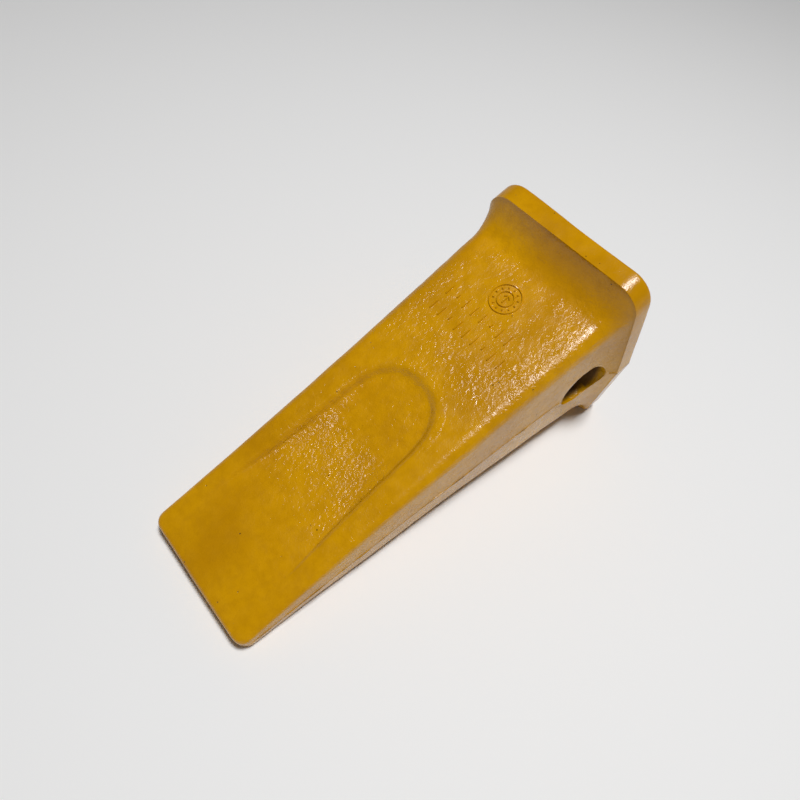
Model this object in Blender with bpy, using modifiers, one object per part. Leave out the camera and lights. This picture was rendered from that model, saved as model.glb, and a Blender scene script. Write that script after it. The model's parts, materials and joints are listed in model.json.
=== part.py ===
"""Excavator bucket tooth: a cast, side-pinned tip with its retaining pin and retainer.

The tooth is drawn in its own axes: x runs from the cutting edge to the rear rim, y along
the pin, and z = 0 is the parting plane of the casting. An empty then lays the whole
assembly down the way it rests on a floor, on the cutting edge and on the collar.
"""

import math

import bmesh
import bpy
from mathutils import Matrix, Vector

MM = 0.001

# Driving dimensions of the casting
LENGTH = 260 * MM
TIP_HALF_WIDTH = 41.5 * MM
TIP_HALF_THICKNESS = 5.7 * MM
TIP_CORNER_RADIUS = 5.0 * MM
TIP_EDGE_RADIUS = 1.6 * MM
FACE_SLOPE = 0.169
# Half widths grow with x as flare * x + swell * x squared
CORNER_FLARE = 0.0049
CORNER_SWELL = 0.104
PARTING_STEP = 0.3 * MM
PARTING_FLARE = 0.0179
PARTING_SWELL = 0.090
EDGE_ROUND_TIP = 2.2 * MM
EDGE_ROUND_REAR = 8.0 * MM

# Collar: a flared rim that shields the joint with the adapter
COLLAR_FILLET_START = 230.5 * MM
COLLAR_CREASE = 248 * MM
COLLAR_HALF_HEIGHT = 62.5 * MM
COLLAR_HALF_WIDTH = 51.2 * MM
COLLAR_PARTING_HALF_WIDTH = 58.2 * MM
COLLAR_UPPER_RADIUS = 15.0 * MM
COLLAR_LOWER_RADIUS = 10.0 * MM
COLLAR_FILLET_SWEEP = 0.96
RIM_RADIUS = 1.8 * MM

# Scoop in the upper and lower working faces
SCOOP_FRONT = 31 * MM
SCOOP_BREAK = 102 * MM
SCOOP_REAR = 151 * MM
SCOOP_DEPTH = 6.4 * MM
SCOOP_STEP = 2.6 * MM
SCOOP_ARCH_START = 114 * MM
SCOOP_HALF_WIDTH = 27.2 * MM
SCOOP_WIDENING = 0.052
SCOOP_ARCH_POWER = 2.5
# Its wall is steep at the brim, then dishes out to the floor
SCOOP_WALL_SLOPE = 1.3
SCOOP_DISH_START = 3.2 * MM
SCOOP_DISH_SLOPE = 0.27
SCOOP_SOFTNESS = 0.6 * MM

# Socket for the adapter's nose: x, half width, half height and corner radius
SOCKET_STATIONS = (
    (138 * MM, 24.0 * MM, 16.5 * MM, 7.0 * MM),
    (160 * MM, 27.2 * MM, 16.5 * MM, 7.0 * MM),
    (236 * MM, 36.8 * MM, 33.6 * MM, 9.0 * MM),
    (262 * MM, 42.5 * MM, 50.0 * MM, 11.0 * MM),
)

# Pin joint
PIN_X = 227.3 * MM
BORE_RADIUS = 15.4 * MM
BORE_CUTTER_REACH = 65 * MM
PIN_RADIUS = 12.7 * MM
PIN_HALF_LENGTH = 43.5 * MM
PIN_CHAMFER = 2.5 * MM
GROOVE_RADIUS = 11.1 * MM
GROOVE_HALF_WIDTH = 3.6 * MM

# Retainer on the pin, beside the far ear
RETAINER_Y = 25.6 * MM
RETAINER_HALF_WIDTH = 6.4 * MM
SHELL_RADIUS = 22.0 * MM
SHELL_WALL = 1.8 * MM
SHELL_LIP_RADIUS = 18.0 * MM
RUBBER_RADIUS = 13.3 * MM
RING_INNER_RADIUS = 11.6 * MM
RING_OUTER_RADIUS = 14.4 * MM
RING_HALF_WIDTH = 2.6 * MM
RING_GAP = 3.5 * MM
GAP = 0.3 * MM

# Points across the outline: working face, rounded corner, side
TOP_STEPS = 14
CORNER_STEPS = 4
SIDE_STEPS = 3
# Stations along the casting, and where the scoop's closer ones run
TIP_STEPS = 5
SCOOP_STEPS = 32
BODY_STEPS = 4
FILLET_STEPS = 6
RIM_STEPS = 3
SCOOP_FIRST_STATION = 11 * MM
SCOOP_LAST_STATION = 156 * MM

SOCKET_CORNER_STEPS = 4
TURNED_STEPS = 48
SHARP_ANGLE = math.radians(30)
MERGE_DISTANCE = 1e-6


def clear_scene():
    for old in list(bpy.data.objects):
        bpy.data.objects.remove(old, do_unlink=True)


def new_collection(name):
    collection = bpy.data.collections.new(name)
    bpy.context.scene.collection.children.link(collection)
    return collection


def new_material(name, colour, metallic, roughness):
    material = bpy.data.materials.new(name)
    material.use_nodes = True
    shader = material.node_tree.nodes["Principled BSDF"]
    shader.inputs["Base Color"].default_value = (*colour, 1.0)
    shader.inputs["Metallic"].default_value = metallic
    shader.inputs["Roughness"].default_value = roughness
    return material


def add_mesh(name, bm, collection, parent=None):
    bmesh.ops.recalc_face_normals(bm, faces=bm.faces)
    mesh = bpy.data.meshes.new(name)
    bm.to_mesh(mesh)
    bm.free()
    piece = bpy.data.objects.new(name, mesh)
    collection.objects.link(piece)
    piece.parent = parent
    return piece


def set_material(piece, material):
    piece.data.materials.clear()
    piece.data.materials.append(material)


def shade(piece):
    piece.data.shade_smooth()
    piece.data.set_sharp_from_angle(angle=SHARP_ANGLE)


def hide_cutter(cutter):
    cutter.hide_render = True
    cutter.display_type = "WIRE"


def cut(piece, cutter):
    modifier = piece.modifiers.new("cut " + cutter.name, "BOOLEAN")
    modifier.operation = "DIFFERENCE"
    modifier.solver = "EXACT"
    modifier.object = cutter


def loft(loops):
    """A closed body through loops of points that all have the same count."""
    bm = bmesh.new()
    rings = [[bm.verts.new(point) for point in loop] for loop in loops]
    for ring, following in zip(rings, rings[1:]):
        for i, vert in enumerate(ring):
            j = (i + 1) % len(ring)
            bm.faces.new((vert, ring[j], following[j], following[i]))
    bm.faces.new(rings[0])
    bm.faces.new(rings[-1])
    return bm


def apply_modifiers(piece):
    """Replace a piece's mesh by what its modifiers make of it."""
    graph = bpy.context.evaluated_depsgraph_get()
    mesh = bpy.data.meshes.new_from_object(piece.evaluated_get(graph))
    piece.modifiers.clear()
    piece.data = mesh


def turned(name, profile, collection, parent):
    """A profile of (radius, y) points, up its outer side, turned about the pin axis.

    It is a closed outline, or starts and ends on the axis.
    """
    bm = bmesh.new()
    verts = [bm.verts.new((radius, y, 0)) for radius, y in reversed(profile)]
    for pair in zip(verts, verts[1:]):
        bm.edges.new(pair)
    if profile[0][0] > 0:
        bm.edges.new((verts[-1], verts[0]))
    piece = add_mesh(name, bm, collection, parent)
    screw = piece.modifiers.new("turn", "SCREW")
    screw.axis = "Y"
    screw.steps = TURNED_STEPS
    screw.render_steps = TURNED_STEPS
    screw.use_merge_vertices = True
    screw.merge_threshold = MERGE_DISTANCE
    apply_modifiers(piece)
    shade(piece)
    return piece


# --- Shape of the casting -----------------------------------------------------------


def corner_half_width(x):
    """Half width at the corner between the working face and the side."""
    return TIP_HALF_WIDTH + CORNER_FLARE * x + CORNER_SWELL * x * x


def parting_half_width(x):
    """Half width at the parting plane; the sides draft outwards to it."""
    return TIP_HALF_WIDTH + PARTING_STEP + PARTING_FLARE * x + PARTING_SWELL * x * x


def face_half_height(x):
    return TIP_HALF_THICKNESS + FACE_SLOPE * x


def quarter_outline(corner, parting, height, radius):
    """Points (y, z) from the top centre, round the corner, to the parting plane."""
    tip = Vector((corner, height))
    along_face = Vector((-1, 0))
    along_side = Vector((parting - corner, -height)).normalized()
    half_angle = along_face.angle(along_side) / 2
    reach = radius / math.tan(half_angle)
    centre = tip + (along_face + along_side).normalized() * radius / math.sin(half_angle)
    start = tip + along_face * reach
    end = tip + along_side * reach
    points = [(start.x * i / TOP_STEPS, height) for i in range(TOP_STEPS)]
    first = math.atan2(start.y - centre.y, start.x - centre.x)
    last = math.atan2(end.y - centre.y, end.x - centre.x)
    for i in range(CORNER_STEPS + 1):
        angle = first + (last - first) * i / CORNER_STEPS
        points.append((centre.x + radius * math.cos(angle), centre.y + radius * math.sin(angle)))
    foot = Vector((parting, 0))
    for i in range(1, SIDE_STEPS + 1):
        point = end.lerp(foot, i / SIDE_STEPS)
        points.append((point.x, point.y))
    return points


def body_quarter(x):
    """Quarter outline of the tapered body, with the cutting edge's own rounding."""
    plan = TIP_CORNER_RADIUS - round_off(x, TIP_CORNER_RADIUS)
    edge = TIP_EDGE_RADIUS - round_off(x, TIP_EDGE_RADIUS)
    rounding = EDGE_ROUND_TIP + (EDGE_ROUND_REAR - EDGE_ROUND_TIP) * min(1, x / COLLAR_FILLET_START)
    return quarter_outline(
        corner_half_width(x) - plan,
        parting_half_width(x) - plan,
        face_half_height(x) - edge,
        rounding,
    )


def collar_quarter(x, inset, radius):
    """Quarter outline of the collar; inset draws it in for the rounded rim."""
    rise = FACE_SLOPE * (x - COLLAR_CREASE)
    return quarter_outline(
        COLLAR_HALF_WIDTH - inset,
        COLLAR_PARTING_HALF_WIDTH - inset,
        COLLAR_HALF_HEIGHT + rise - inset,
        radius - inset,
    )


def round_off(distance, radius):
    """Height of a quarter round of this radius, this far in from its edge."""
    inside = min(distance, radius)
    return math.sqrt(radius * radius - (radius - inside) ** 2)


def fillet_weight(x):
    """0 where the collar's concave fillet starts, 1 at its crease."""
    run = (x - COLLAR_FILLET_START) / (COLLAR_CREASE - COLLAR_FILLET_START)
    sweep = COLLAR_FILLET_SWEEP
    along = sweep * min(max(run, 0), 1)
    return (1 - math.sqrt(1 - along * along)) / (1 - math.sqrt(1 - sweep * sweep))


def soft_min(a, b, softness):
    blend = max(0.0, softness - abs(a - b)) / softness
    return min(a, b) - blend * blend * softness / 4


def scoop_depth(x, y):
    """How far the scoop lowers the working face at x, y."""
    floor = SCOOP_DEPTH * (x - SCOOP_FRONT) / (SCOOP_BREAK - SCOOP_FRONT)
    climb = (SCOOP_REAR - x) / (SCOOP_REAR - SCOOP_BREAK)
    ramp = SCOOP_STEP + (SCOOP_DEPTH - SCOOP_STEP) * climb
    width = SCOOP_HALF_WIDTH + SCOOP_WIDENING * max(0, SCOOP_ARCH_START - x)
    across = abs(y) / width
    along = max(0, x - SCOOP_ARCH_START) / (SCOOP_REAR - SCOOP_ARCH_START)
    arch = (across**SCOOP_ARCH_POWER + along**SCOOP_ARCH_POWER) ** (1 / SCOOP_ARCH_POWER)
    inside = width * (1 - arch)
    dish = SCOOP_DISH_START + SCOOP_DISH_SLOPE * inside
    wall = soft_min(SCOOP_WALL_SLOPE * inside, dish, SCOOP_SOFTNESS)
    depth = soft_min(soft_min(floor, ramp, SCOOP_SOFTNESS), wall, SCOOP_SOFTNESS)
    return max(0.0, depth)


def quarter_at(x, inset, collar_radius):
    """Quarter outline at x: the body, blended into the collar along its fillet."""
    body = body_quarter(min(x, COLLAR_CREASE))
    weight = fillet_weight(x)
    if weight > 0:
        collar = collar_quarter(max(x, COLLAR_CREASE), inset, collar_radius)
        body = [
            (a[0] + (b[0] - a[0]) * weight, a[1] + (b[1] - a[1]) * weight)
            for a, b in zip(body, collar)
        ]
    return [(y, z - scoop_depth(x, y) if i < TOP_STEPS else z) for i, (y, z) in enumerate(body)]


def casting_loop(x, inset=0.0):
    """The whole outline at x, as a closed loop of points."""
    upper = quarter_at(x, inset, COLLAR_UPPER_RADIUS)
    lower = quarter_at(x, inset, COLLAR_LOWER_RADIUS)
    right = upper + [(y, -z) for y, z in reversed(lower[:-1])]
    left = [(-y, z) for y, z in reversed(right[1:-1])]
    return [(x, y, z) for y, z in right + left]


def casting_stations():
    """(x, inset) pairs from the cutting edge to the rear rim."""
    stations = []
    for i in range(TIP_STEPS + 1):
        run = 1 - math.cos(math.pi / 2 * i / TIP_STEPS)
        stations.append((TIP_CORNER_RADIUS * run, 0.0))
    scoop_length = SCOOP_LAST_STATION - SCOOP_FIRST_STATION
    for i in range(SCOOP_STEPS + 1):
        stations.append((SCOOP_FIRST_STATION + scoop_length * i / SCOOP_STEPS, 0.0))
    body_length = COLLAR_FILLET_START - SCOOP_LAST_STATION
    for i in range(1, BODY_STEPS + 1):
        stations.append((SCOOP_LAST_STATION + body_length * i / BODY_STEPS, 0.0))
    fillet_length = COLLAR_CREASE - COLLAR_FILLET_START
    for i in range(1, FILLET_STEPS + 1):
        run = math.sin(math.pi / 2 * i / FILLET_STEPS)
        stations.append((COLLAR_FILLET_START + fillet_length * run, 0.0))
    for i in range(RIM_STEPS + 1):
        angle = math.pi / 2 * i / RIM_STEPS
        x = LENGTH - RIM_RADIUS * (1 - math.sin(angle))
        stations.append((x, RIM_RADIUS * (1 - math.cos(angle))))
    return stations


def rounded_rectangle(x, half_width, half_height, radius):
    """A loop of points at x: a rectangle with quarter-round corners."""
    points = []
    for corner, (sy, sz) in enumerate(((1, 1), (-1, 1), (-1, -1), (1, -1))):
        for i in range(SOCKET_CORNER_STEPS + 1):
            angle = math.pi / 2 * (corner + i / SOCKET_CORNER_STEPS)
            y = sy * (half_width - radius) + radius * math.cos(angle)
            z = sz * (half_height - radius) + radius * math.sin(angle)
            points.append((x, y, z))
    return points


def make_casting(parts, cutters, rest):
    casting = add_mesh(
        "tooth_casting",
        loft([casting_loop(x, inset) for x, inset in casting_stations()]),
        parts,
        rest,
    )
    shade(casting)
    socket = add_mesh(
        "socket_cutter",
        loft([rounded_rectangle(*station) for station in SOCKET_STATIONS]),
        cutters,
        rest,
    )
    hide_cutter(socket)
    bm = bmesh.new()
    bmesh.ops.create_cone(
        bm,
        cap_ends=True,
        segments=TURNED_STEPS,
        radius1=BORE_RADIUS,
        radius2=BORE_RADIUS,
        depth=2 * BORE_CUTTER_REACH,
        matrix=Matrix.Rotation(math.pi / 2, 4, "X"),
    )
    bore = add_mesh("bore_cutter", bm, cutters, rest)
    bore.location = (PIN_X, 0, 0)
    hide_cutter(bore)
    cut(casting, socket)
    cut(casting, bore)
    return casting


# --- Pin and retainer ---------------------------------------------------------------


def make_pin(parts, axis):
    """Round steel pin with chamfered ends and a groove for the lock ring."""
    groove_start = RETAINER_Y - GROOVE_HALF_WIDTH
    groove_end = RETAINER_Y + GROOVE_HALF_WIDTH
    groove_flank = PIN_RADIUS - GROOVE_RADIUS
    profile = (
        (0, -PIN_HALF_LENGTH),
        (PIN_RADIUS - PIN_CHAMFER, -PIN_HALF_LENGTH),
        (PIN_RADIUS, -PIN_HALF_LENGTH + PIN_CHAMFER),
        (PIN_RADIUS, groove_start),
        (GROOVE_RADIUS, groove_start + groove_flank / 2),
        (GROOVE_RADIUS, groove_end - groove_flank / 2),
        (PIN_RADIUS, groove_end),
        (PIN_RADIUS, PIN_HALF_LENGTH - PIN_CHAMFER),
        (PIN_RADIUS - PIN_CHAMFER, PIN_HALF_LENGTH),
        (0, PIN_HALF_LENGTH),
    )
    return turned("retaining_pin", profile, parts, axis)


def make_retainer(parts, cutters, axis):
    """Steel shell, rubber bonded inside it, and the split ring that grips the groove."""
    near = RETAINER_Y - RETAINER_HALF_WIDTH
    far = RETAINER_Y + RETAINER_HALF_WIDTH
    inside = SHELL_RADIUS - SHELL_WALL
    shell_profile = (
        (SHELL_RADIUS, near),
        (SHELL_RADIUS, far),
        (SHELL_LIP_RADIUS, far),
        (SHELL_LIP_RADIUS, far - SHELL_WALL),
        (inside, far - SHELL_WALL),
        (inside, near + SHELL_WALL),
        (SHELL_LIP_RADIUS, near + SHELL_WALL),
        (SHELL_LIP_RADIUS, near),
    )
    shell = turned("retainer_shell", shell_profile, parts, axis)

    pocket = RING_HALF_WIDTH + GAP
    bed = RING_OUTER_RADIUS + GAP
    rubber_out = inside - GAP
    rubber_near = near + SHELL_WALL + GAP
    rubber_far = far - SHELL_WALL - GAP
    rubber_profile = (
        (rubber_out, rubber_near),
        (rubber_out, rubber_far),
        (RUBBER_RADIUS, rubber_far),
        (RUBBER_RADIUS, RETAINER_Y + pocket),
        (bed, RETAINER_Y + pocket),
        (bed, RETAINER_Y - pocket),
        (RUBBER_RADIUS, RETAINER_Y - pocket),
        (RUBBER_RADIUS, rubber_near),
    )
    rubber = turned("retainer_rubber", rubber_profile, parts, axis)

    ring_profile = (
        (RING_OUTER_RADIUS, RETAINER_Y - RING_HALF_WIDTH),
        (RING_OUTER_RADIUS, RETAINER_Y + RING_HALF_WIDTH),
        (RING_INNER_RADIUS, RETAINER_Y + RING_HALF_WIDTH),
        (RING_INNER_RADIUS, RETAINER_Y - RING_HALF_WIDTH),
    )
    ring = turned("lock_ring", ring_profile, parts, axis)
    bm = bmesh.new()
    reach = RING_OUTER_RADIUS + GAP
    bmesh.ops.create_cube(bm, size=1, matrix=Matrix.Diagonal((reach, 2 * pocket, RING_GAP, 1)))
    gap = add_mesh("ring_gap_cutter", bm, cutters, axis)
    gap.location = (reach / 2, RETAINER_Y, 0)
    hide_cutter(gap)
    cut(ring, gap)
    return shell, rubber, ring


def lay_down(rest, casting):
    """Put the empty so that the cutting edge and the collar rest on z = 0, centred."""
    points = [vert.co for vert in casting.data.vertices]
    angle = max(
        math.atan2(-TIP_HALF_THICKNESS - point.z, point.x) for point in points if point.x > LENGTH / 2
    )
    turn = Matrix.Rotation(-angle, 3, "Y")
    turned_points = [turn @ point for point in points]
    lowest = min(point.z for point in turned_points)
    middle = (min(point.x for point in turned_points) + max(point.x for point in turned_points)) / 2
    rest.rotation_euler = (0, -angle, 0)
    rest.location = (-middle, 0, -lowest)


def main():
    clear_scene()
    parts = new_collection("bucket_tooth")
    cutters = new_collection("cutters")
    rest = bpy.data.objects.new("resting_pose", None)
    parts.objects.link(rest)
    pin_axis = bpy.data.objects.new("pin_axis", None)
    parts.objects.link(pin_axis)
    pin_axis.parent = rest
    pin_axis.location = (PIN_X, 0, 0)

    paint = new_material("paint", (0.50, 0.25, 0.004), 0.0, 0.3)
    steel = new_material("pin_steel", (0.30, 0.28, 0.26), 1.0, 0.4)
    shell_steel = new_material("shell_steel", (0.42, 0.40, 0.36), 1.0, 0.35)
    spring_steel = new_material("spring_steel", (0.20, 0.20, 0.21), 1.0, 0.3)
    rubber_black = new_material("rubber", (0.02, 0.02, 0.02), 0.0, 0.75)

    casting = make_casting(parts, cutters, rest)
    set_material(casting, paint)
    set_material(make_pin(parts, pin_axis), steel)
    shell, rubber, ring = make_retainer(parts, cutters, pin_axis)
    set_material(shell, shell_steel)
    set_material(rubber, rubber_black)
    set_material(ring, spring_steel)
    lay_down(rest, casting)


main()
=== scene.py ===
"""Looks of the excavator bucket tooth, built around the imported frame.

The casting is drawn in the tooth's own axes, as the CAD is: x from the cutting edge to the
rear rim, y along the pin, z = 0 the parting plane. Its object then takes the resting pose.
"""

import json
import math
from types import SimpleNamespace

import bmesh
import bpy
import numpy as np
from mathutils import Euler, Matrix, Vector, noise
from mathutils.bvhtree import BVHTree


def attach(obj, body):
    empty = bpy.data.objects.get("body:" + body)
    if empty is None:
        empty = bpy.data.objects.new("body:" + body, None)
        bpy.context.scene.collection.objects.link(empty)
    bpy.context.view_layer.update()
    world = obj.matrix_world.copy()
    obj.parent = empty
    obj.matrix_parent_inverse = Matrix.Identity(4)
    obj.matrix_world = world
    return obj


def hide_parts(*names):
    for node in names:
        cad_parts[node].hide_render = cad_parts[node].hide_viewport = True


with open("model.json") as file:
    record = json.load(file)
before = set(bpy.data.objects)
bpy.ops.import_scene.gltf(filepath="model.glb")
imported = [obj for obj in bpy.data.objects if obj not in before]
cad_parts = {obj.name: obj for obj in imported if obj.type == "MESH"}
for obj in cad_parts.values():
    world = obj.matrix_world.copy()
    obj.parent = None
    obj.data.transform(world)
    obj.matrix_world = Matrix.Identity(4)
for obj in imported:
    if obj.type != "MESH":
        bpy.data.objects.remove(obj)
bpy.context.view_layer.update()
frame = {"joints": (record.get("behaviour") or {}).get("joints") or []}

MM = 0.001

# Camera: lens and sensor in millimetres, turn in degrees
CAMERA_PLACE = (-0.14723, -0.11715, 0.31897)
CAMERA_TURN = (34.879, -6.983, -40.201)
CAMERA_LENS = 27.13
CAMERA_SENSOR = 36

# Studio: strength of the surroundings at two heights of the view direction, and one lamp
LOW_Z, LOW_STRENGTH = 0.02, 0.42
HIGH_Z, HIGH_STRENGTH = 0.5, 0.05
SURROUNDINGS = (1.0, 0.99, 0.97, 1)
LAMP_PLACE = Vector((0.10, -0.20, 1.7))
LAMP_TARGET = Vector((0, 0, 0.05))
LAMP_SIZE = 0.32
LAMP_POWER = 24
FLOOR_REACH = 4
FLOOR_COLOUR = (0.90, 0.90, 0.90, 1)
FLOOR_ROUGHNESS = 0.7

# Casting
LENGTH = 260 * MM
TIP_HALF_WIDTH = 41.5 * MM
TIP_HALF_THICKNESS = 5.7 * MM
TIP_CORNER_RADIUS = 6.0 * MM
TIP_EDGE_RADIUS = 2.0 * MM
FACE_SLOPE = 0.169
CORNER_FLARE = 0.0049
CORNER_SWELL = 0.104
PARTING_STEP = 0.3 * MM
PARTING_FLARE = 0.0179
PARTING_SWELL = 0.090
EDGE_ROUND_TIP = 3.0 * MM
EDGE_ROUND_REAR = 9.0 * MM
COLLAR_FILLET_START = 230.5 * MM
COLLAR_CREASE = 248 * MM
COLLAR_HALF_HEIGHT = 62.5 * MM
COLLAR_HALF_WIDTH = 51.2 * MM
COLLAR_PARTING_HALF_WIDTH = 58.2 * MM
COLLAR_UPPER_RADIUS = 15.0 * MM
COLLAR_LOWER_RADIUS = 10.0 * MM
COLLAR_FILLET_SWEEP = 0.96
RIM_RADIUS = 2.2 * MM

# Scoop
SCOOP_FRONT = 31 * MM
SCOOP_BREAK = 102 * MM
SCOOP_REAR = 151 * MM
SCOOP_DEPTH = 6.4 * MM
SCOOP_STEP = 2.6 * MM
SCOOP_ARCH_START = 114 * MM
SCOOP_HALF_WIDTH = 27.2 * MM
SCOOP_WIDENING = 0.052
SCOOP_ARCH_POWER = 2.5
SCOOP_WALL_SLOPE = 1.3
SCOOP_DISH_START = 3.2 * MM
SCOOP_DISH_SLOPE = 0.27
SCOOP_SOFTNESS = 0.6 * MM
SCOOP_BRIM_SOFTNESS = 1.1 * MM

# Socket: x, half width, half height, corner radius
SOCKET_STATIONS = (
    (138 * MM, 24.0 * MM, 16.5 * MM, 7.0 * MM),
    (160 * MM, 27.2 * MM, 16.5 * MM, 7.0 * MM),
    (236 * MM, 36.8 * MM, 33.6 * MM, 9.0 * MM),
    (262 * MM, 42.5 * MM, 50.0 * MM, 11.0 * MM),
)
BORE_RADIUS = 15.4 * MM

# Fineness of the casting's mesh
TOP_STEPS = 42
CORNER_STEPS = 8
SIDE_STEPS = 16
TIP_LOOPS = 10
BODY_LOOPS = 158
FILLET_LOOPS = 18
BAND_OFFSETS = np.array((0.5, 1.1, 2.4, 4.2, 6.0, 7.8)) * MM
RIM_LOOPS = 7
RIM_FACE_INSETS = (3.4 * MM, 5.2 * MM, 7.0 * MM)
SOCKET_SPACING = 3.2 * MM
SOCKET_CORNER_POINTS = 9
SOCKET_SIDE_POINTS = 10
BORE_REACH = 66 * MM
BORE_LOOPS = 45
BORE_POINTS = 96
CASTING_SHARP_ANGLE = math.radians(38)

# Waves of the cast surface: length, and a number that sets each one's pattern apart
SLOW_WAVE = (42 * MM, 1)
MEDIUM_WAVE = (12 * MM, 2)
QUICK_WAVE = (4.6 * MM, 3)
PATCHES = (30 * MM, 4)
OTHER_PATCHES = (24 * MM, 5)
CREASE_WAVE = (8 * MM, 6)

# Moulding flash along the parting plane, and the raised marks; a bead's section across
# is (side, rise), in half widths and heights
BEAD_SECTION = ((-0.66, 0.5), (-0.3, 1.0), (0.3, 1.0), (0.66, 0.5))
FLASH_STEP = 1.6 * MM
FLASH_START = 5 * MM
FLASH_WIDTH = 1.3 * MM
FLASH_SINK = 2.0
BESIDE = 80 * MM
MARK_WIDTH = 1.25 * MM
MARK_HEIGHT = 0.8 * MM
MARK_END_HEIGHT = 0.35 * MM
MARK_SINK = 1.2
ABOVE = 200 * MM

# The marks, in millimetres on the upper face
DIAL = (213.0, 3.0)
DIAL_RADIUS = 8.8
DIAL_INNER_RADIUS = 4.6
DIAL_TICKS = 12
TICK_START, TICK_END = 6.1, 7.3
HAND_REACH = 2.8
HAND_BARB = (0.8, 1.9)
BAR_ROWS = ((197.0, 8), (185.0, 9))
BAR_FIRST_Y = 29.0
BAR_SPACING = 6.4
LONG_BAR, SHORT_BAR = 3.4, 1.2

# Pin and retainer
PIN_RADIUS = 12.7 * MM
PIN_HALF_LENGTH = 43.5 * MM
PIN_CHAMFER = 2.5 * MM
GROOVE_RADIUS = 11.1 * MM
GROOVE_HALF_WIDTH = 3.6 * MM
RETAINER_Y = 25.6 * MM
RETAINER_HALF_WIDTH = 6.4 * MM
SHELL_RADIUS = 22.0 * MM
SHELL_WALL = 1.8 * MM
SHELL_LIP_RADIUS = 18.0 * MM
RUBBER_RADIUS = 13.3 * MM
RING_INNER_RADIUS = 11.6 * MM
RING_OUTER_RADIUS = 14.4 * MM
RING_HALF_WIDTH = 2.6 * MM
RING_GAP = 3.5 * MM
GAP = 0.3 * MM
TURNED_STEPS = 128
TURNED_SHARP_ANGLE = math.radians(35)
PIN_EASE = 0.5 * MM
PIN_EASE_IN = 0.3 * MM
PIN_EASE_ALONG = 0.4 * MM
PIN_ARRIS = 0.2 * MM
SHELL_EASE = 0.6 * MM
RING_EASE = 0.35 * MM
PIN_AXIS_RADIUS = 0.05 * MM
MERGE_DISTANCE = 1e-6

# Where the tooth lies in the row: on its cutting edge and its collar, about the pin's axis
PIN_X = 227.3 * MM
PIN_POINT = Vector(frame["joints"][0]["pos_m"])
TILT = math.atan2(COLLAR_HALF_HEIGHT - TIP_HALF_THICKNESS, COLLAR_CREASE)
LAY_DOWN = Matrix.Translation(PIN_POINT) @ Matrix.Rotation(-TILT, 4, "Y")


# --- Camera, light and floor --------------------------------------------------------


def link(name, data):
    """A new object in the scene."""
    holder = bpy.data.objects.new(name, data)
    bpy.context.scene.collection.objects.link(holder)
    return holder


def make_camera():
    camera = bpy.data.cameras.new("camera")
    camera.lens = CAMERA_LENS
    camera.sensor_width = CAMERA_SENSOR
    camera.clip_start = 0.01
    holder = link("camera", camera)
    holder.location = CAMERA_PLACE
    holder.rotation_euler = Euler([math.radians(angle) for angle in CAMERA_TURN], "XYZ")
    bpy.context.scene.camera = holder


def make_surroundings():
    """A pale studio whose ceiling is dark."""
    world = bpy.data.worlds.new("studio")
    bpy.context.scene.world = world
    world.use_nodes = True
    tree = world.node_tree
    background = tree.nodes["Background"]
    background.inputs["Color"].default_value = SURROUNDINGS
    place = tree.nodes.new("ShaderNodeTexCoord")
    split = tree.nodes.new("ShaderNodeSeparateXYZ")
    fade = tree.nodes.new("ShaderNodeMapRange")
    fade.interpolation_type = "SMOOTHSTEP"
    fade.inputs["From Min"].default_value = LOW_Z
    fade.inputs["From Max"].default_value = HIGH_Z
    fade.inputs["To Min"].default_value = LOW_STRENGTH
    fade.inputs["To Max"].default_value = HIGH_STRENGTH
    tree.links.new(place.outputs["Generated"], split.inputs["Vector"])
    tree.links.new(split.outputs["Z"], fade.inputs["Value"])
    tree.links.new(fade.outputs["Result"], background.inputs["Strength"])


def make_lamp():
    """One soft lamp, almost straight above."""
    lamp = bpy.data.lights.new("key", "AREA")
    lamp.shape = "RECTANGLE"
    lamp.size = LAMP_SIZE
    lamp.size_y = LAMP_SIZE
    lamp.energy = LAMP_POWER
    holder = link("key", lamp)
    holder.location = LAMP_PLACE
    holder.rotation_euler = (LAMP_TARGET - LAMP_PLACE).to_track_quat("-Z", "Y").to_euler()


def make_floor():
    bm = bmesh.new()
    bmesh.ops.create_grid(bm, x_segments=1, y_segments=1, size=FLOOR_REACH)
    mesh = bpy.data.meshes.new("floor")
    bm.to_mesh(mesh)
    bm.free()
    floor = link("floor", mesh)
    material = bpy.data.materials.new("floor")
    material.use_nodes = True
    shader = material.node_tree.nodes["Principled BSDF"]
    shader.inputs["Base Color"].default_value = FLOOR_COLOUR
    shader.inputs["Roughness"].default_value = FLOOR_ROUGHNESS
    mesh.materials.append(material)


# --- Node helpers -------------------------------------------------------------------


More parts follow.
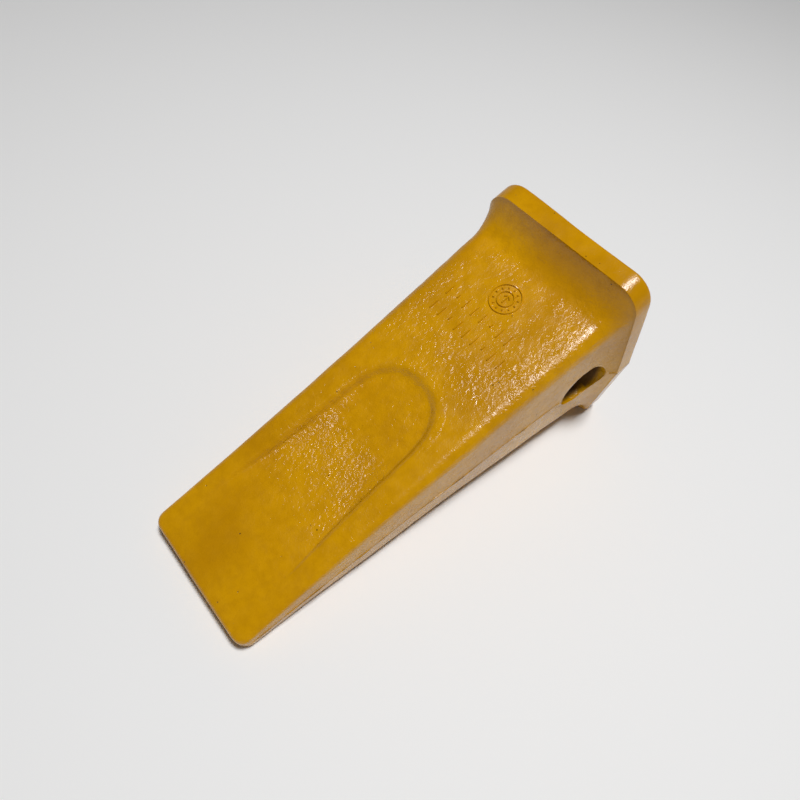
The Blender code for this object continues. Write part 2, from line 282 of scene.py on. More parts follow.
class Nodes:
    """A material's node tree, with short ways to add and link its nodes."""

    def __init__(self, name, place=None):
        self.material = bpy.data.materials.new(name)
        self.material.use_nodes = True
        self.tree = self.material.node_tree
        self.shader = self.tree.nodes["Principled BSDF"]
        if place:
            self.place = self.add("ShaderNodeAttribute", attribute_name=place).outputs["Vector"]
        else:
            self.place = self.add("ShaderNodeTexCoord").outputs["Object"]

    def add(self, kind, **settings):
        node = self.tree.nodes.new(kind)
        for key, value in settings.items():
            setattr(node, key, value)
        return node

    def feed(self, socket, value):
        if isinstance(value, bpy.types.NodeSocket):
            self.tree.links.new(value, socket)
        else:
            socket.default_value = value

    def scaled(self, scale):
        node = self.add("ShaderNodeMapping")
        self.feed(node.inputs["Vector"], self.place)
        node.inputs["Scale"].default_value = scale
        return node.outputs["Vector"]

    def noise(self, scale, detail=2.0, roughness=0.5, vector=None, distortion=0.0):
        node = self.add("ShaderNodeTexNoise")
        self.feed(node.inputs["Vector"], vector or self.place)
        node.inputs["Scale"].default_value = scale
        node.inputs["Detail"].default_value = detail
        node.inputs["Roughness"].default_value = roughness
        node.inputs["Distortion"].default_value = distortion
        return node.outputs["Fac"]

    def cells(self, scale):
        node = self.add("ShaderNodeTexVoronoi")
        self.feed(node.inputs["Vector"], self.place)
        node.inputs["Scale"].default_value = scale
        return node.outputs["Distance"]

    def span(self, value, low, high, to_low=0.0, to_high=1.0):
        """Takes value from between low and high to between to_low and to_high, smoothly."""
        node = self.add("ShaderNodeMapRange", interpolation_type="SMOOTHSTEP")
        self.feed(node.inputs["Value"], value)
        node.inputs["From Min"].default_value = low
        node.inputs["From Max"].default_value = high
        node.inputs["To Min"].default_value = to_low
        node.inputs["To Max"].default_value = to_high
        return node.outputs["Result"]

    def calc(self, operation, first, second):
        node = self.add("ShaderNodeMath", operation=operation)
        self.feed(node.inputs[0], first)
        self.feed(node.inputs[1], second)
        return node.outputs["Value"]

    def field(self, name):
        return self.add("ShaderNodeAttribute", attribute_name=name).outputs["Fac"]

    def mix(self, factor, first, second):
        node = self.add("ShaderNodeMix", data_type="RGBA")
        self.feed(node.inputs[0], factor)
        self.feed(node.inputs[6], first)
        self.feed(node.inputs[7], second)
        return node.outputs[2]

    def bump(self, height, distance, normal=None):
        node = self.add("ShaderNodeBump")
        node.inputs["Strength"].default_value = 1.0
        node.inputs["Distance"].default_value = distance
        self.feed(node.inputs["Height"], height)
        if normal:
            self.feed(node.inputs["Normal"], normal)
        return node.outputs["Normal"]


# --- Materials ----------------------------------------------------------------------


# Ochre enamel, brown in its pits, and the browns of painted shade along the parting seam, at the
# raised beads' feet and in the socket and bore
DEEP_OCHRE = (0.55, 0.254, 0.0, 1)
PALE_OCHRE = (0.66, 0.322, 0.0, 1)
MOTTLED_OCHRE = (0.42, 0.185, 0.0, 1)
PIT_BROWN = (0.10, 0.04, 0.002, 1)
# Painted shade along the parting seam
SEAM_SHADE_BROWN = (0.13, 0.055, 0.004, 1)
# Painted shade round the feet of raised beads
BEAD_FOOT_SHADE = (0.14, 0.06, 0.002, 1)
# Painted shade for the socket and bore walls
SOCKET_SHADE_BROWN = (0.17, 0.075, 0.003, 1)
SOCKET_DEEP_SHADE = (0.09, 0.038, 0.004, 1)

# How high the enamel's bumps stand
LUMP_HEIGHT = 1.1 * MM
STREAK_HEIGHT = 0.6 * MM
PEEL_HEIGHT = 0.10 * MM
PIT_DEPTH = 0.25 * MM
ENAMEL_IOR = 1.47


def paint_colour(n, place, inside, pits):
    """Ochre that drifts and mottles, brown in pits; painted shade at the seam, at the marks' feet
    and in the socket.
    """
    colour = n.mix(n.span(n.noise(22, 3.0), 0.35, 0.65), DEEP_OCHRE, PALE_OCHRE)
    mottle = n.noise(170, 3.0, 0.6)
    colour = n.mix(n.span(mottle, 0.30, 0.75, 0.0, 0.35), colour, MOTTLED_OCHRE)
    colour = n.mix(pits, colour, PIT_BROWN)
    # Painted shade: a thin dark line along the parting seam and over the flash, broken by noise,
    # not inside the socket
    off_parting = n.calc("ABSOLUTE", place.outputs["Z"], 0.0)
    seam_shade = n.span(off_parting, 0.25 * MM, 0.6 * MM, 0.75, 0.0)
    seam_shade = n.calc("MULTIPLY", seam_shade, n.span(n.noise(160, 2.0), 0.35, 0.5))
    seam_shade = n.calc("MULTIPLY", seam_shade, n.calc("SUBTRACT", 1.0, inside))
    colour = n.mix(seam_shade, colour, SEAM_SHADE_BROWN)
    # Painted shade round the feet of the raised marks and flash beads
    colour = n.mix(n.span(n.field("feet"), 0.25, 0.8, 0.0, 0.85), colour, BEAD_FOOT_SHADE)
    # Painted shade: the socket and bore walls darkened to deep brown, broken up by noise
    socket_shade = n.mix(n.span(n.noise(60, 4.0), 0.35, 0.65), SOCKET_SHADE_BROWN, SOCKET_DEEP_SHADE)
    return n.mix(inside, colour, socket_shade)


def paint_roughness(n, place, inside):
    """Glossy outside, glossier on the collar's band and duller in the socket."""
    gloss = n.span(n.noise(130, 2.0), 0.3, 0.7, 0.17, 0.27)
    gloss = n.calc("ADD", gloss, n.calc("MULTIPLY", inside, 0.3))
    collar = n.span(place.outputs["X"], COLLAR_CREASE - 2 * MM, COLLAR_CREASE + 1 * MM, 0.0, 0.07)
    return n.calc("SUBTRACT", gloss, collar)


def paint_normal(n, pits):
    """Cast lumps, streaks drawn along the tooth, orange peel and pits, one on another."""
    lumps = n.calc("MULTIPLY", n.noise(390, 3.0, 0.6, distortion=0.5), n.field("lumps"))
    along = n.scaled((0.15, 1.0, 1.0))
    streaks = n.calc("MULTIPLY", n.noise(330, 3.0, 0.65, along), n.field("streaks"))
    normal = n.bump(lumps, LUMP_HEIGHT)
    normal = n.bump(streaks, STREAK_HEIGHT, normal)
    normal = n.bump(n.noise(1300, 2.0, 0.5), PEEL_HEIGHT, normal)
    return n.bump(n.calc("SUBTRACT", 1.0, pits), PIT_DEPTH, normal)


def make_paint():
    """Thick glossy ochre enamel over a lumpy sand-cast surface."""
    n = Nodes("casting_paint", "tooth_place")
    inside = n.field("inside")
    pits = n.span(n.cells(240), 0.05, 0.11, 1.0, 0.0)
    pits = n.calc("MULTIPLY", pits, n.span(n.noise(75, 1.0), 0.60, 0.68))
    place = n.add("ShaderNodeSeparateXYZ")
    n.feed(place.inputs["Vector"], n.place)
    n.feed(n.shader.inputs["Base Color"], paint_colour(n, place, inside, pits))
    n.feed(n.shader.inputs["Roughness"], paint_roughness(n, place, inside))
    n.feed(n.shader.inputs["Normal"], paint_normal(n, pits))
    n.shader.inputs["IOR"].default_value = ENAMEL_IOR
    return n.material


def make_pin_steel():
    """Dark rolled steel with turning marks, an oily film and a little brown."""
    n = Nodes("pin_steel")
    rings = n.noise(30, 2.0, 0.5, n.scaled((1.5, 60.0, 1.5)))
    stain = n.noise(90, 4.0, 0.6)
    colour = n.mix(n.span(stain, 0.35, 0.7), (0.23, 0.215, 0.20, 1), (0.16, 0.11, 0.075, 1))
    n.feed(n.shader.inputs["Base Color"], colour)
    n.shader.inputs["Metallic"].default_value = 0.9
    n.feed(n.shader.inputs["Roughness"], n.span(stain, 0.3, 0.7, 0.28, 0.5))
    normal = n.bump(rings, 0.05 * MM)
    n.feed(n.shader.inputs["Normal"], normal)
    return n.material


def make_shell_steel():
    """Yellow-zinc plate: pale gold that drifts to a faint pink."""
    n = Nodes("retainer_steel")
    drift = n.noise(60, 2.0)
    colour = n.mix(n.span(drift, 0.3, 0.7), (0.56, 0.44, 0.22, 1), (0.52, 0.36, 0.26, 1))
    n.feed(n.shader.inputs["Base Color"], colour)
    n.shader.inputs["Metallic"].default_value = 1.0
    n.feed(n.shader.inputs["Roughness"], n.span(n.noise(400, 2.0), 0.3, 0.7, 0.26, 0.42))
    rings = n.noise(25, 1.0, 0.5, n.scaled((1.0, 70.0, 1.0)))
    n.feed(n.shader.inputs["Normal"], n.bump(rings, 0.03 * MM))
    return n.material


def make_rubber():
    """Moulded black rubber, matt, with a fine grain."""
    n = Nodes("retainer_rubber")
    grain = n.noise(900, 3.0)
    dust = n.noise(50, 3.0)
    colour = n.mix(n.span(dust, 0.45, 0.75), (0.018, 0.018, 0.018, 1), (0.05, 0.047, 0.043, 1))
    n.feed(n.shader.inputs["Base Color"], colour)
    n.feed(n.shader.inputs["Roughness"], n.span(dust, 0.3, 0.7, 0.6, 0.8))
    n.feed(n.shader.inputs["Normal"], n.bump(grain, 0.06 * MM))
    return n.material


def make_spring_steel():
    """Oil-blackened spring steel."""
    n = Nodes("spring_steel")
    patches = n.noise(150, 3.0)
    colour = n.mix(n.span(patches, 0.35, 0.7), (0.05, 0.05, 0.055, 1), (0.10, 0.09, 0.085, 1))
    n.feed(n.shader.inputs["Base Color"], colour)
    n.shader.inputs["Metallic"].default_value = 0.85
    n.feed(n.shader.inputs["Roughness"], n.span(patches, 0.3, 0.7, 0.3, 0.45))
    n.feed(n.shader.inputs["Normal"], n.bump(n.noise(1500, 2.0), 0.02 * MM))
    return n.material


# --- Shape of the casting -----------------------------------------------------------


def corner_half_width(x):
    return TIP_HALF_WIDTH + CORNER_FLARE * x + CORNER_SWELL * x * x


def parting_half_width(x):
    return TIP_HALF_WIDTH + PARTING_STEP + PARTING_FLARE * x + PARTING_SWELL * x * x


def face_half_height(x):
    return TIP_HALF_THICKNESS + FACE_SLOPE * x


def round_off(distance, radius):
    """Height of a quarter round of this radius, this far in from its edge."""
    inside = min(distance, radius)
    return math.sqrt(radius * radius - (radius - inside) ** 2)


def fillet_weight(x):
    """0 where the collar's concave fillet starts, 1 at its crease."""
    run = (x - COLLAR_FILLET_START) / (COLLAR_CREASE - COLLAR_FILLET_START)
    sweep = COLLAR_FILLET_SWEEP
    along = sweep * min(max(run, 0), 1)
    return (1 - math.sqrt(1 - along * along)) / (1 - math.sqrt(1 - sweep * sweep))


def quarter_outline(corner, parting, height, radius):
    """Points (y, z) from the top centre, round the corner, to the parting plane."""
    tip = np.array((corner, height))
    along_face = np.array((-1.0, 0.0))
    along_side = np.array((parting - corner, -height))
    along_side /= np.linalg.norm(along_side)
    half_angle = math.acos(float(along_face @ along_side)) / 2
    middle = along_face + along_side
    centre = tip + middle / np.linalg.norm(middle) * radius / math.sin(half_angle)
    start = tip + along_face * radius / math.tan(half_angle)
    end = tip + along_side * radius / math.tan(half_angle)
    across = np.linspace(0, start[0], TOP_STEPS, endpoint=False)
    face = np.column_stack((across, np.full(TOP_STEPS, height)))
    first = math.atan2(start[1] - centre[1], start[0] - centre[0])
    last = math.atan2(end[1] - centre[1], end[0] - centre[0])
    angles = np.linspace(first, last, CORNER_STEPS + 1)
    arc = centre + radius * np.column_stack((np.cos(angles), np.sin(angles)))
    down = np.linspace(0, 1, SIDE_STEPS + 1)[1:, None]
    side = end + (np.array((parting, 0.0)) - end) * down
    return np.vstack((face, arc, side))


def soft_min(a, b, softness):
    blend = np.maximum(0.0, softness - np.abs(a - b)) / softness
    return np.minimum(a, b) - blend * blend * softness / 4


def scoop_reach(x, y):
    """How far inside the scoop's outline a point is; below 0 outside."""
    width = SCOOP_HALF_WIDTH + SCOOP_WIDENING * np.maximum(0, SCOOP_ARCH_START - x)
    across = np.abs(y) / width
    along = np.maximum(0, x - SCOOP_ARCH_START) / (SCOOP_REAR - SCOOP_ARCH_START)
    arch = (across**SCOOP_ARCH_POWER + along**SCOOP_ARCH_POWER) ** (1 / SCOOP_ARCH_POWER)
    return width * (1 - arch)


def scoop_depth(x, y):
    """How far the scoop lowers the working face at x, y (arrays)."""
    floor = SCOOP_DEPTH * (x - SCOOP_FRONT) / (SCOOP_BREAK - SCOOP_FRONT)
    climb = (SCOOP_REAR - x) / (SCOOP_REAR - SCOOP_BREAK)
    ramp_depth = SCOOP_STEP + (SCOOP_DEPTH - SCOOP_STEP) * climb
    inside = scoop_reach(x, y)
    dish = SCOOP_DISH_START + SCOOP_DISH_SLOPE * inside
    wall = soft_min(SCOOP_WALL_SLOPE * inside, dish, SCOOP_SOFTNESS)
    depth = soft_min(soft_min(floor, ramp_depth, SCOOP_SOFTNESS), wall, SCOOP_SOFTNESS)
    return -soft_min(-depth, np.zeros_like(depth), SCOOP_BRIM_SOFTNESS)


def quarter_at(x, inset, collar_radius):
    """Quarter outline at x: the body, blended into the collar along its fillet."""
    body_x = min(x, COLLAR_CREASE)
    plan = TIP_CORNER_RADIUS - round_off(body_x, TIP_CORNER_RADIUS)
    edge = TIP_EDGE_RADIUS - round_off(body_x, TIP_EDGE_RADIUS)
    grown = min(1, body_x / COLLAR_FILLET_START)
    quarter = quarter_outline(
        corner_half_width(body_x) - plan,
        parting_half_width(body_x) - plan,
        face_half_height(body_x) - edge,
        EDGE_ROUND_TIP + (EDGE_ROUND_REAR - EDGE_ROUND_TIP) * grown,
    )
    weight = fillet_weight(x)
    if weight > 0:
        rise = FACE_SLOPE * (max(x, COLLAR_CREASE) - COLLAR_CREASE)
        collar = quarter_outline(
            COLLAR_HALF_WIDTH - inset,
            COLLAR_PARTING_HALF_WIDTH - inset,
            COLLAR_HALF_HEIGHT + rise - inset,
            collar_radius - inset,
        )
        quarter += (collar - quarter) * weight
    quarter[:, 1] -= scoop_depth(np.full(len(quarter), x), quarter[:, 0])
    return quarter


def casting_loop(x, inset=0.0):
    """The whole outline at x; the collar's upper and lower corners differ."""
    upper = quarter_at(x, inset, COLLAR_UPPER_RADIUS)
    lower = quarter_at(x, inset, COLLAR_LOWER_RADIUS)[:-1][::-1] * (1, -1)
    right = np.vstack((upper, lower))
    left = right[1:-1][::-1] * (-1, 1)
    ring = np.vstack((right, left))
    return np.column_stack((np.full(len(ring), x), ring))


def casting_loops():
    """Outlines from the cutting edge to the rear rim, close together at the edges."""
    angles = np.linspace(0, math.pi / 2, TIP_LOOPS)
    tip = TIP_CORNER_RADIUS * (1 - np.cos(angles))
    body = np.linspace(TIP_CORNER_RADIUS, COLLAR_FILLET_START, BODY_LOOPS)[1:]
    fillet_run = COLLAR_CREASE - COLLAR_FILLET_START
    sweep = np.linspace(0, math.pi / 2, FILLET_LOOPS)[1:]
    fillet = COLLAR_FILLET_START + fillet_run * np.sin(sweep)
    band = BAND_OFFSETS + COLLAR_CREASE
    loops = [casting_loop(x) for x in (*tip, *body, *fillet, *band)]
    for angle in np.linspace(0, math.pi / 2, RIM_LOOPS):
        inset = RIM_RADIUS * (1 - math.cos(angle))
        loops.append(casting_loop(LENGTH - RIM_RADIUS * (1 - math.sin(angle)), inset))
    for inset in RIM_FACE_INSETS:
        loops.append(casting_loop(LENGTH, inset))
    return loops


def loft(name, loops):
    """A closed mesh through loops of points that all have the same count."""
    bm = bmesh.new()
    rings = [[bm.verts.new(point) for point in loop] for loop in loops]
    for ring, following in zip(rings, rings[1:]):
        for i, vert in enumerate(ring):
            j = (i + 1) % len(ring)
            bm.faces.new((vert, ring[j], following[j], following[i]))
    bm.faces.new(rings[0])
    bm.faces.new(rings[-1])
    return link_mesh(name, bm)


def link_mesh(name, bm):
    bmesh.ops.recalc_face_normals(bm, faces=bm.faces)
    mesh = bpy.data.meshes.new(name)
    bm.to_mesh(mesh)
    bm.free()
    return link(name, mesh)


def rounded_rectangle(x, half_width, half_height, radius):
    """Points round a socket section: its four corner arcs, and those between them."""
    arcs = []
    for corner, (sy, sz) in enumerate(((1, 1), (-1, 1), (-1, -1), (1, -1))):
        centre = np.array((sy * (half_width - radius), sz * (half_height - radius)))
        angles = math.pi / 2 * (corner + np.linspace(0, 1, SOCKET_CORNER_POINTS))
        arcs.append(centre + radius * np.column_stack((np.cos(angles), np.sin(angles))))
    run = np.linspace(0, 1, SOCKET_SIDE_POINTS + 2)[1:-1, None]
    points = []
    for arc, following in zip(arcs, arcs[1:] + arcs[:1]):
        points.append(arc)
        points.append(arc[-1] * (1 - run) + following[0] * run)
    ring = np.vstack(points)
    return np.column_stack((np.full(len(ring), x), ring))


def socket_loops():
    """Outlines of the socket, from its closed end to past the rim."""
    loops = []
    for first, second in zip(SOCKET_STATIONS, SOCKET_STATIONS[1:]):
        steps = round((second[0] - first[0]) / SOCKET_SPACING)
        for i in range(steps):
            mixed = np.array(first) * (1 - i / steps) + np.array(second) * (i / steps)
            loops.append(rounded_rectangle(*mixed))
    loops.append(rounded_rectangle(*SOCKET_STATIONS[-1]))
    return loops


def apply_modifiers(piece):
    """Replaces a piece's mesh by what its modifiers make of it."""
    graph = bpy.context.evaluated_depsgraph_get()
    mesh = bpy.data.meshes.new_from_object(piece.evaluated_get(graph))
    piece.modifiers.clear()
    piece.data = mesh


def bore_loops():
    """Circles along the pin axis, as a cutter for both ears."""
    loops = []
    for y in np.linspace(-BORE_REACH, BORE_REACH, BORE_LOOPS):
        angles = np.linspace(0, math.tau, BORE_POINTS, endpoint=False)
        x = PIN_X + BORE_RADIUS * np.cos(angles)
        z = BORE_RADIUS * np.sin(angles)
        loops.append(np.column_stack((x, np.full(len(x), y), z)))
    return loops


def cut_casting():
    """The clean solid: outline, socket and bore."""
    casting = loft("casting", casting_loops())
    cutters = loft("socket", socket_loops()), loft("bore", bore_loops())
    for cutter in cutters:
        modifier = casting.modifiers.new(cutter.name, "BOOLEAN")
        modifier.operation = "DIFFERENCE"
        modifier.solver = "EXACT"
        modifier.object = cutter
    apply_modifiers(casting)
    for cutter in cutters:
        bpy.data.objects.remove(cutter, do_unlink=True)
    casting.data.shade_smooth()
    return casting


def ramp(value, low, high):
    """0 below low, 1 above high, smooth between."""
    t = np.clip((value - low) / (high - low), 0, 1)
    return t * t * (3 - 2 * t)


def noise_at(points, wave):
    length, pattern = wave
    shift = Vector((pattern * 7.3, pattern * 3.1, pattern * 5.7))
    return np.array([noise.noise(Vector(p) / length + shift) for p in points])


def find_areas(points, normals):
    """How far each point belongs to each area of the casting, from 0 to 1."""
    x, y, z = points.T
    under_face = face_half_height(x) - np.abs(z)
    socket_end = SOCKET_STATIONS[0][0]
    inside = (x > socket_end - 1 * MM) & (x < LENGTH - 1.5 * MM) & (under_face > 8 * MM)
    inside &= np.abs(y) < parting_half_width(np.minimum(x, COLLAR_CREASE)) - 3 * MM
    return SimpleNamespace(
        in_scoop=ramp(scoop_depth(x, y), 0.8 * MM, 2.8 * MM) * (under_face < 9 * MM),
        inside=inside,
        on_collar=ramp(x, COLLAR_CREASE - 2 * MM, COLLAR_CREASE),
        off_tip=ramp(x, 25 * MM, 75 * MM),
        on_side=ramp(np.abs(normals[:, 1]), 0.6, 0.9),
    )


def waviness(points, at):
    """How far the cast surface stands out, in millimetres."""
    x = points[:, 0]
    rear = ramp(x, 140 * MM, 185 * MM) * (1 - ramp(x, 232 * MM, 240 * MM))
    near_crease = np.clip(1 - np.abs(x - COLLAR_CREASE) / (4 * MM), 0, 1)
    amount = (0.32 + 0.38 * at.on_collar) * noise_at(points, SLOW_WAVE)
    medium = (0.05 + 0.08 * at.off_tip) * (1 - 0.7 * at.on_collar)
    amount += medium * noise_at(points, MEDIUM_WAVE)
    amount += 0.30 * near_crease * noise_at(points, CREASE_WAVE)
    quick = 0.015 + 0.08 * at.in_scoop + 0.02 * at.off_tip + 0.09 * rear
    quick *= 1 - 0.8 * at.on_collar
    amount += quick * noise_at(points, QUICK_WAVE)
    return amount * np.where(at.inside, 0.3, 1.0)


def lump_strength(points, at, patchy, patchy_too):
    """How lumpy the enamel is: most on the scoop's floor and behind the scoop."""
    x, y, _ = points.T
    on_floor = at.in_scoop * ramp(x, 48 * MM, 82 * MM) * (1 - 0.95 * ramp(x, 104 * MM, 112 * MM))
    behind_scoop = ramp(x, 140 * MM, 165 * MM) * (1 - 0.8 * at.on_side)
    lumps = 0.12 + 0.26 * at.off_tip * patchy + 0.62 * on_floor * (0.5 + 0.5 * patchy_too)
    lumps += 0.06 * at.in_scoop + 0.42 * behind_scoop * (0.4 + 0.6 * patchy)
    lumps *= 1 - 0.6 * ramp(x, 208 * MM, 240 * MM)
    at_brim = np.abs(scoop_reach(x, y)) < 4 * MM
    lumps += 0.14 * at_brim * ramp(x, 118 * MM, 134 * MM)
    near_marks = ramp(x, 178 * MM, 182 * MM) * ramp(-x, -226 * MM, -221 * MM)
    near_marks *= ramp(y, -30 * MM, -24 * MM) * ramp(-y, -36 * MM, -32 * MM)
    lumps *= 1 - 0.5 * near_marks
    lumps *= 1 - 0.85 * at.on_collar
    return lumps + 0.12 * at.on_side


def streak_strength(points, at, patchy_too):
    """How streaky the enamel is: fully on the sides, a little on the rear of the faces."""
    on_rear = ramp(points[:, 0], 168 * MM, 212 * MM) * (1 - 0.9 * at.on_collar)
    on_rear *= 0.3 + 0.7 * patchy_too
    return np.maximum(0.2 * on_rear * (1 - at.on_side), at.on_side * (1 - 0.7 * at.on_collar))


def read_vectors(items, key):
    values = np.zeros(len(items) * 3)
    items.foreach_get(key, values)
    return values.reshape(-1, 3)


def roughen(casting):
    """Cast-surface waviness in the mesh, and the fields that steer the paint."""
    mesh = casting.data
    points = read_vectors(mesh.vertices, "co")
    normals = read_vectors(mesh.vertex_normals, "vector")
    at = find_areas(points, normals)
    points += normals * (waviness(points, at) * MM)[:, None]
    mesh.vertices.foreach_set("co", points.ravel())

    patchy = np.clip(0.5 + 1.1 * noise_at(points, PATCHES), 0, 1)
    patchy_too = np.clip(0.5 + 1.3 * noise_at(points, OTHER_PATCHES), 0, 1)
    for name, values in (
        ("lumps", lump_strength(points, at, patchy, patchy_too)),
        ("streaks", streak_strength(points, at, patchy_too)),
        ("inside", at.inside.astype(float)),
    ):
        field = mesh.attributes.new(name, "FLOAT", "POINT")
        field.data.foreach_set("value", np.clip(values, 0, 1).astype(np.float32))
    mesh.update()


def settle(piece, name, paint):
    """Lays a painted piece down with the tooth and keeps its place in the tooth's axes."""
    mesh = piece.data
    place = read_vectors(mesh.vertices, "co")
    field = mesh.attributes.new("tooth_place", "FLOAT_VECTOR", "POINT")
    field.data.foreach_set("vector", place.ravel().astype(np.float32))
    mesh.transform(LAY_DOWN @ Matrix.Translation((-PIN_X, 0, 0)))
    mesh.materials.append(paint)
    mesh.shade_smooth()
    mesh.set_sharp_from_angle(angle=CASTING_SHARP_ANGLE)
    piece.name = name
    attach(piece, "tooth")


def bead(bm, path, normals, width, heights, sink):
    """A rounded raised bead along a path on the surface; its feet are marked for painted shade."""
    feet = bm.verts.layers.float.get("feet") or bm.verts.layers.float.new("feet")
    section = ((-1, -sink), *BEAD_SECTION, (1, -sink))
    previous = None
    for i, (point, normal) in enumerate(zip(path, normals)):
        ahead = path[min(i + 1, len(path) - 1)] - path[max(i - 1, 0)]
        across = normal.cross(ahead).normalized()
        ring = [
            bm.verts.new(point + across * (side * width / 2) + normal * (rise * heights[i]))
            for side, rise in section
        ]
        # The feet get painted shade in the paint
        ring[0][feet] = ring[-1][feet] = 1.0
        if previous:
            for j in range(len(ring)):
                k = (j + 1) % len(ring)
                bm.faces.new((previous[j], previous[k], ring[k], ring[j]))
        else:
            bm.faces.new(ring)
        previous = ring
    bm.faces.new(previous)


def land(tree, origin, direction):
    """Where a line meets the casting, and the surface's normal there."""
    place, normal, _, _ = tree.ray_cast(Vector(origin), Vector(direction))
    return place, normal


def make_flash(tree):
    """The fins left where the mould halves met, along both sides, with a gap at the bore."""
    bm = bmesh.new()
    for side in (1, -1):
        path, normals, heights = [], [], []
        for i in range(int(LENGTH / FLASH_STEP)):
            x = FLASH_START + i * FLASH_STEP
            place = None
            if x < COLLAR_CREASE + 1 * MM and abs(x - PIN_X) > BORE_RADIUS + 0.8 * MM:
                ragged = ramp(x, 243 * MM, 246 * MM)
                wander = noise.noise(Vector((x / (9 * MM), side * 4.0, 0.5)))
                z = (0.25 + 0.9 * ragged) * MM * wander
                place, normal = land(tree, (x, side * BESIDE, z), (0, -side, 0))
            if place:
                bite = noise.noise(Vector((x / (6 * MM), side * 9.0, 2.5)))
                path.append(place)
                normals.append(normal)
                heights.append(MM * max(0.08, 0.2 + 0.25 * bite + 0.15 * ragged * (1 + bite)))
            else:
                if len(path) > 2:
                    bead(bm, path, normals, FLASH_WIDTH, heights, FLASH_SINK)
                path, normals, heights = [], [], []
    return link_mesh("flash", bm)


def circle(centre, radius, steps=40):
    angles = [math.tau * i / steps for i in range(steps + 1)]
    return [(centre[0] + radius * math.cos(a), centre[1] + radius * math.sin(a)) for a in angles]


def segment(start, end, steps=8):
    mixed = [i / steps for i in range(steps + 1)]
    return [(start[0] + (end[0] - start[0]) * t, start[1] + (end[1] - start[1]) * t) for t in mixed]


def dial_lines():
    """A plain dial: two circles, ticks between them and one arrow."""
    x, y = DIAL
    lines = [circle(DIAL, DIAL_RADIUS), circle(DIAL, DIAL_INNER_RADIUS)]
    for i in range(DIAL_TICKS):
        angle = math.tau * i / DIAL_TICKS
        ray = (math.cos(angle), math.sin(angle))
        start = (x + TICK_START * ray[0], y + TICK_START * ray[1])
        end = (x + TICK_END * ray[0], y + TICK_END * ray[1])
        lines.append(segment(start, end, 3))
    point = (x + HAND_REACH, y)
    lines.append(segment((x - HAND_REACH, y), point))
    for side in (1, -1):
        lines.append(segment(point, (x + HAND_BARB[0], y + side * HAND_BARB[1]), 4))
    return lines


def bar_lines():
    """Rows of bars across the face, most of them long and every fourth one short."""
    lines = []
    for row, (x, count) in enumerate(BAR_ROWS):
        for i in range(count):
            y = BAR_FIRST_Y - i * BAR_SPACING
            reach = SHORT_BAR if (i * 3 + row) % 4 == 3 else LONG_BAR
            lines.append(segment((x - reach, y), (x + reach, y)))
    return lines


def make_marks(tree):
    """The foundry's raised marks on the upper face."""
    bm = bmesh.new()
    for line in dial_lines() + bar_lines():
        path, normals = [], []
        for x, y in line:
            place, normal = land(tree, (x * MM, y * MM, ABOVE), (0, 0, -1))
            path.append(place)
            normals.append(normal)
        heights = [MARK_HEIGHT] * len(path)
        if line[0] != line[-1]:
            heights[0] = heights[-1] = MARK_END_HEIGHT
        bead(bm, path, normals, MARK_WIDTH, heights, MARK_SINK)
    return link_mesh("marks", bm)


def make_casting(paint):
    """The painted casting, with its flash and marks as pieces of their own."""
    casting = cut_casting()
    roughen(casting)
    tree = BVHTree.FromObject(casting, bpy.context.evaluated_depsgraph_get())
    flash = make_flash(tree)
    marks = make_marks(tree)
    settle(casting, "painted_casting", paint)
    settle(flash, "parting_flash", paint)
    settle(marks, "foundry_marks", paint)
    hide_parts("tooth_casting")


# --- Pin and retainer ---------------------------------------------------------------


def turned(name, profile, material, body, node, turn=math.tau):
    """A closed profile of (radius, y) points turned about the pin axis."""
    bm = bmesh.new()
    verts = [bm.verts.new((radius, y, 0)) for radius, y in profile]
    face = bm.faces.new(verts)
    full_turn = math.isclose(turn, math.tau)
    start = Matrix.Rotation((math.tau - turn) / 2, 3, "Y")
    bmesh.ops.rotate(bm, verts=bm.verts, cent=(0, 0, 0), matrix=start)
    bmesh.ops.spin(
        bm,
        geom=list(face.edges) if full_turn else [face, *face.edges, *face.verts],
        cent=(0, 0, 0),
        axis=(0, 1, 0),
        angle=turn,
        steps=TURNED_STEPS,
        use_merge=full_turn,
        use_duplicate=False,
    )
    if full_turn:
        bmesh.ops.delete(bm, geom=[face], context="FACES_ONLY")
        bmesh.ops.remove_doubles(bm, verts=bm.verts, dist=MERGE_DISTANCE)
    piece = link_mesh(name, bm)
    piece.data.materials.append(material)
    piece.data.shade_smooth()
    piece.data.set_sharp_from_angle(angle=TURNED_SHARP_ANGLE)
    piece.matrix_world = LAY_DOWN
    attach(piece, body)
    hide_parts(node)


def make_pin(steel):
    """Round pin with chamfered ends and a groove, its edges eased."""
    end_radius = PIN_RADIUS - PIN_CHAMFER
    chamfer = PIN_HALF_LENGTH - PIN_CHAMFER
    groove_start = RETAINER_Y - GROOVE_HALF_WIDTH
    groove_end = RETAINER_Y + GROOVE_HALF_WIDTH
    flank = PIN_RADIUS - GROOVE_RADIUS
    end = (
        (PIN_AXIS_RADIUS, PIN_HALF_LENGTH),
        (end_radius - PIN_EASE, PIN_HALF_LENGTH),
        (end_radius, PIN_HALF_LENGTH - PIN_EASE_IN),
        (PIN_RADIUS - PIN_EASE_IN, chamfer + PIN_ARRIS),
        (PIN_RADIUS, chamfer - PIN_EASE_ALONG),
    )
    groove = (
        (PIN_RADIUS, groove_start - PIN_ARRIS),
        (PIN_RADIUS - PIN_ARRIS, groove_start),
        (GROOVE_RADIUS, groove_start + flank / 2),
        (GROOVE_RADIUS, groove_end - flank / 2),
        (PIN_RADIUS - PIN_ARRIS, groove_end),
        (PIN_RADIUS, groove_end + PIN_ARRIS),
    )
    profile = (*((radius, -y) for radius, y in end), *groove, *reversed(end))
    turned("grooved_pin", profile, steel, "pin", "retaining_pin")


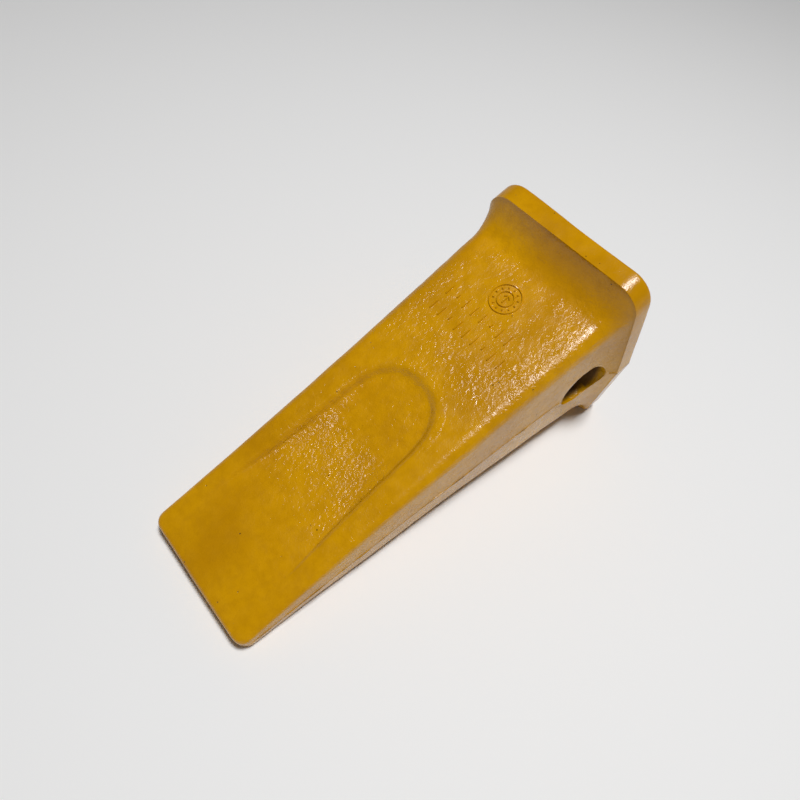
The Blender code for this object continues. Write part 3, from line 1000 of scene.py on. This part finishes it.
def make_retainer(shell_steel, rubber, spring_steel):
    """Plated shell, the rubber bonded in it, and the split ring that grips the groove."""
    near = RETAINER_Y - RETAINER_HALF_WIDTH
    far = RETAINER_Y + RETAINER_HALF_WIDTH
    inside = SHELL_RADIUS - SHELL_WALL
    ease = SHELL_EASE
    shell = (
        (SHELL_RADIUS, near + ease),
        (SHELL_RADIUS, far - ease),
        (SHELL_RADIUS - ease / 3, far - ease / 3),
        (SHELL_RADIUS - ease, far),
        (SHELL_LIP_RADIUS + ease / 2, far),
        (SHELL_LIP_RADIUS, far - ease / 2),
        (SHELL_LIP_RADIUS, far - SHELL_WALL),
        (inside, far - SHELL_WALL),
        (inside, near + SHELL_WALL),
        (SHELL_LIP_RADIUS, near + SHELL_WALL),
        (SHELL_LIP_RADIUS, near + ease / 2),
        (SHELL_LIP_RADIUS + ease / 2, near),
        (SHELL_RADIUS - ease, near),
        (SHELL_RADIUS - ease / 3, near + ease / 3),
    )
    turned("plated_shell", shell, shell_steel, "retainer", "retainer_shell")

    pocket = RING_HALF_WIDTH + GAP
    bed = RING_OUTER_RADIUS + GAP
    rubber_out = inside - GAP
    rubber_near = near + SHELL_WALL + GAP
    rubber_far = far - SHELL_WALL - GAP
    rubber_profile = (
        (rubber_out, rubber_near),
        (rubber_out, rubber_far),
        (RUBBER_RADIUS + ease, rubber_far),
        (RUBBER_RADIUS, rubber_far - ease),
        (RUBBER_RADIUS, RETAINER_Y + pocket),
        (bed, RETAINER_Y + pocket),
        (bed, RETAINER_Y - pocket),
        (RUBBER_RADIUS, RETAINER_Y - pocket),
        (RUBBER_RADIUS, rubber_near + ease),
        (RUBBER_RADIUS + ease, rubber_near),
    )
    turned("bonded_rubber", rubber_profile, rubber, "retainer", "retainer_rubber")

    edge = RING_EASE
    ring = (
        (RING_OUTER_RADIUS, RETAINER_Y - RING_HALF_WIDTH + edge),
        (RING_OUTER_RADIUS, RETAINER_Y + RING_HALF_WIDTH - edge),
        (RING_OUTER_RADIUS - edge, RETAINER_Y + RING_HALF_WIDTH),
        (RING_INNER_RADIUS + edge, RETAINER_Y + RING_HALF_WIDTH),
        (RING_INNER_RADIUS, RETAINER_Y + RING_HALF_WIDTH - edge),
        (RING_INNER_RADIUS, RETAINER_Y - RING_HALF_WIDTH + edge),
        (RING_INNER_RADIUS + edge, RETAINER_Y - RING_HALF_WIDTH),
        (RING_OUTER_RADIUS - edge, RETAINER_Y - RING_HALF_WIDTH),
    )
    split = math.tau - RING_GAP / RING_OUTER_RADIUS
    turned("split_ring", ring, spring_steel, "retainer", "lock_ring", split)


# --- Everything ---------------------------------------------------------------------


bpy.context.scene.view_settings.view_transform = "Standard"
make_camera()
make_surroundings()
make_lamp()
make_floor()
make_casting(make_paint())
make_pin(make_pin_steel())
make_retainer(make_shell_steel(), make_rubber(), make_spring_steel())
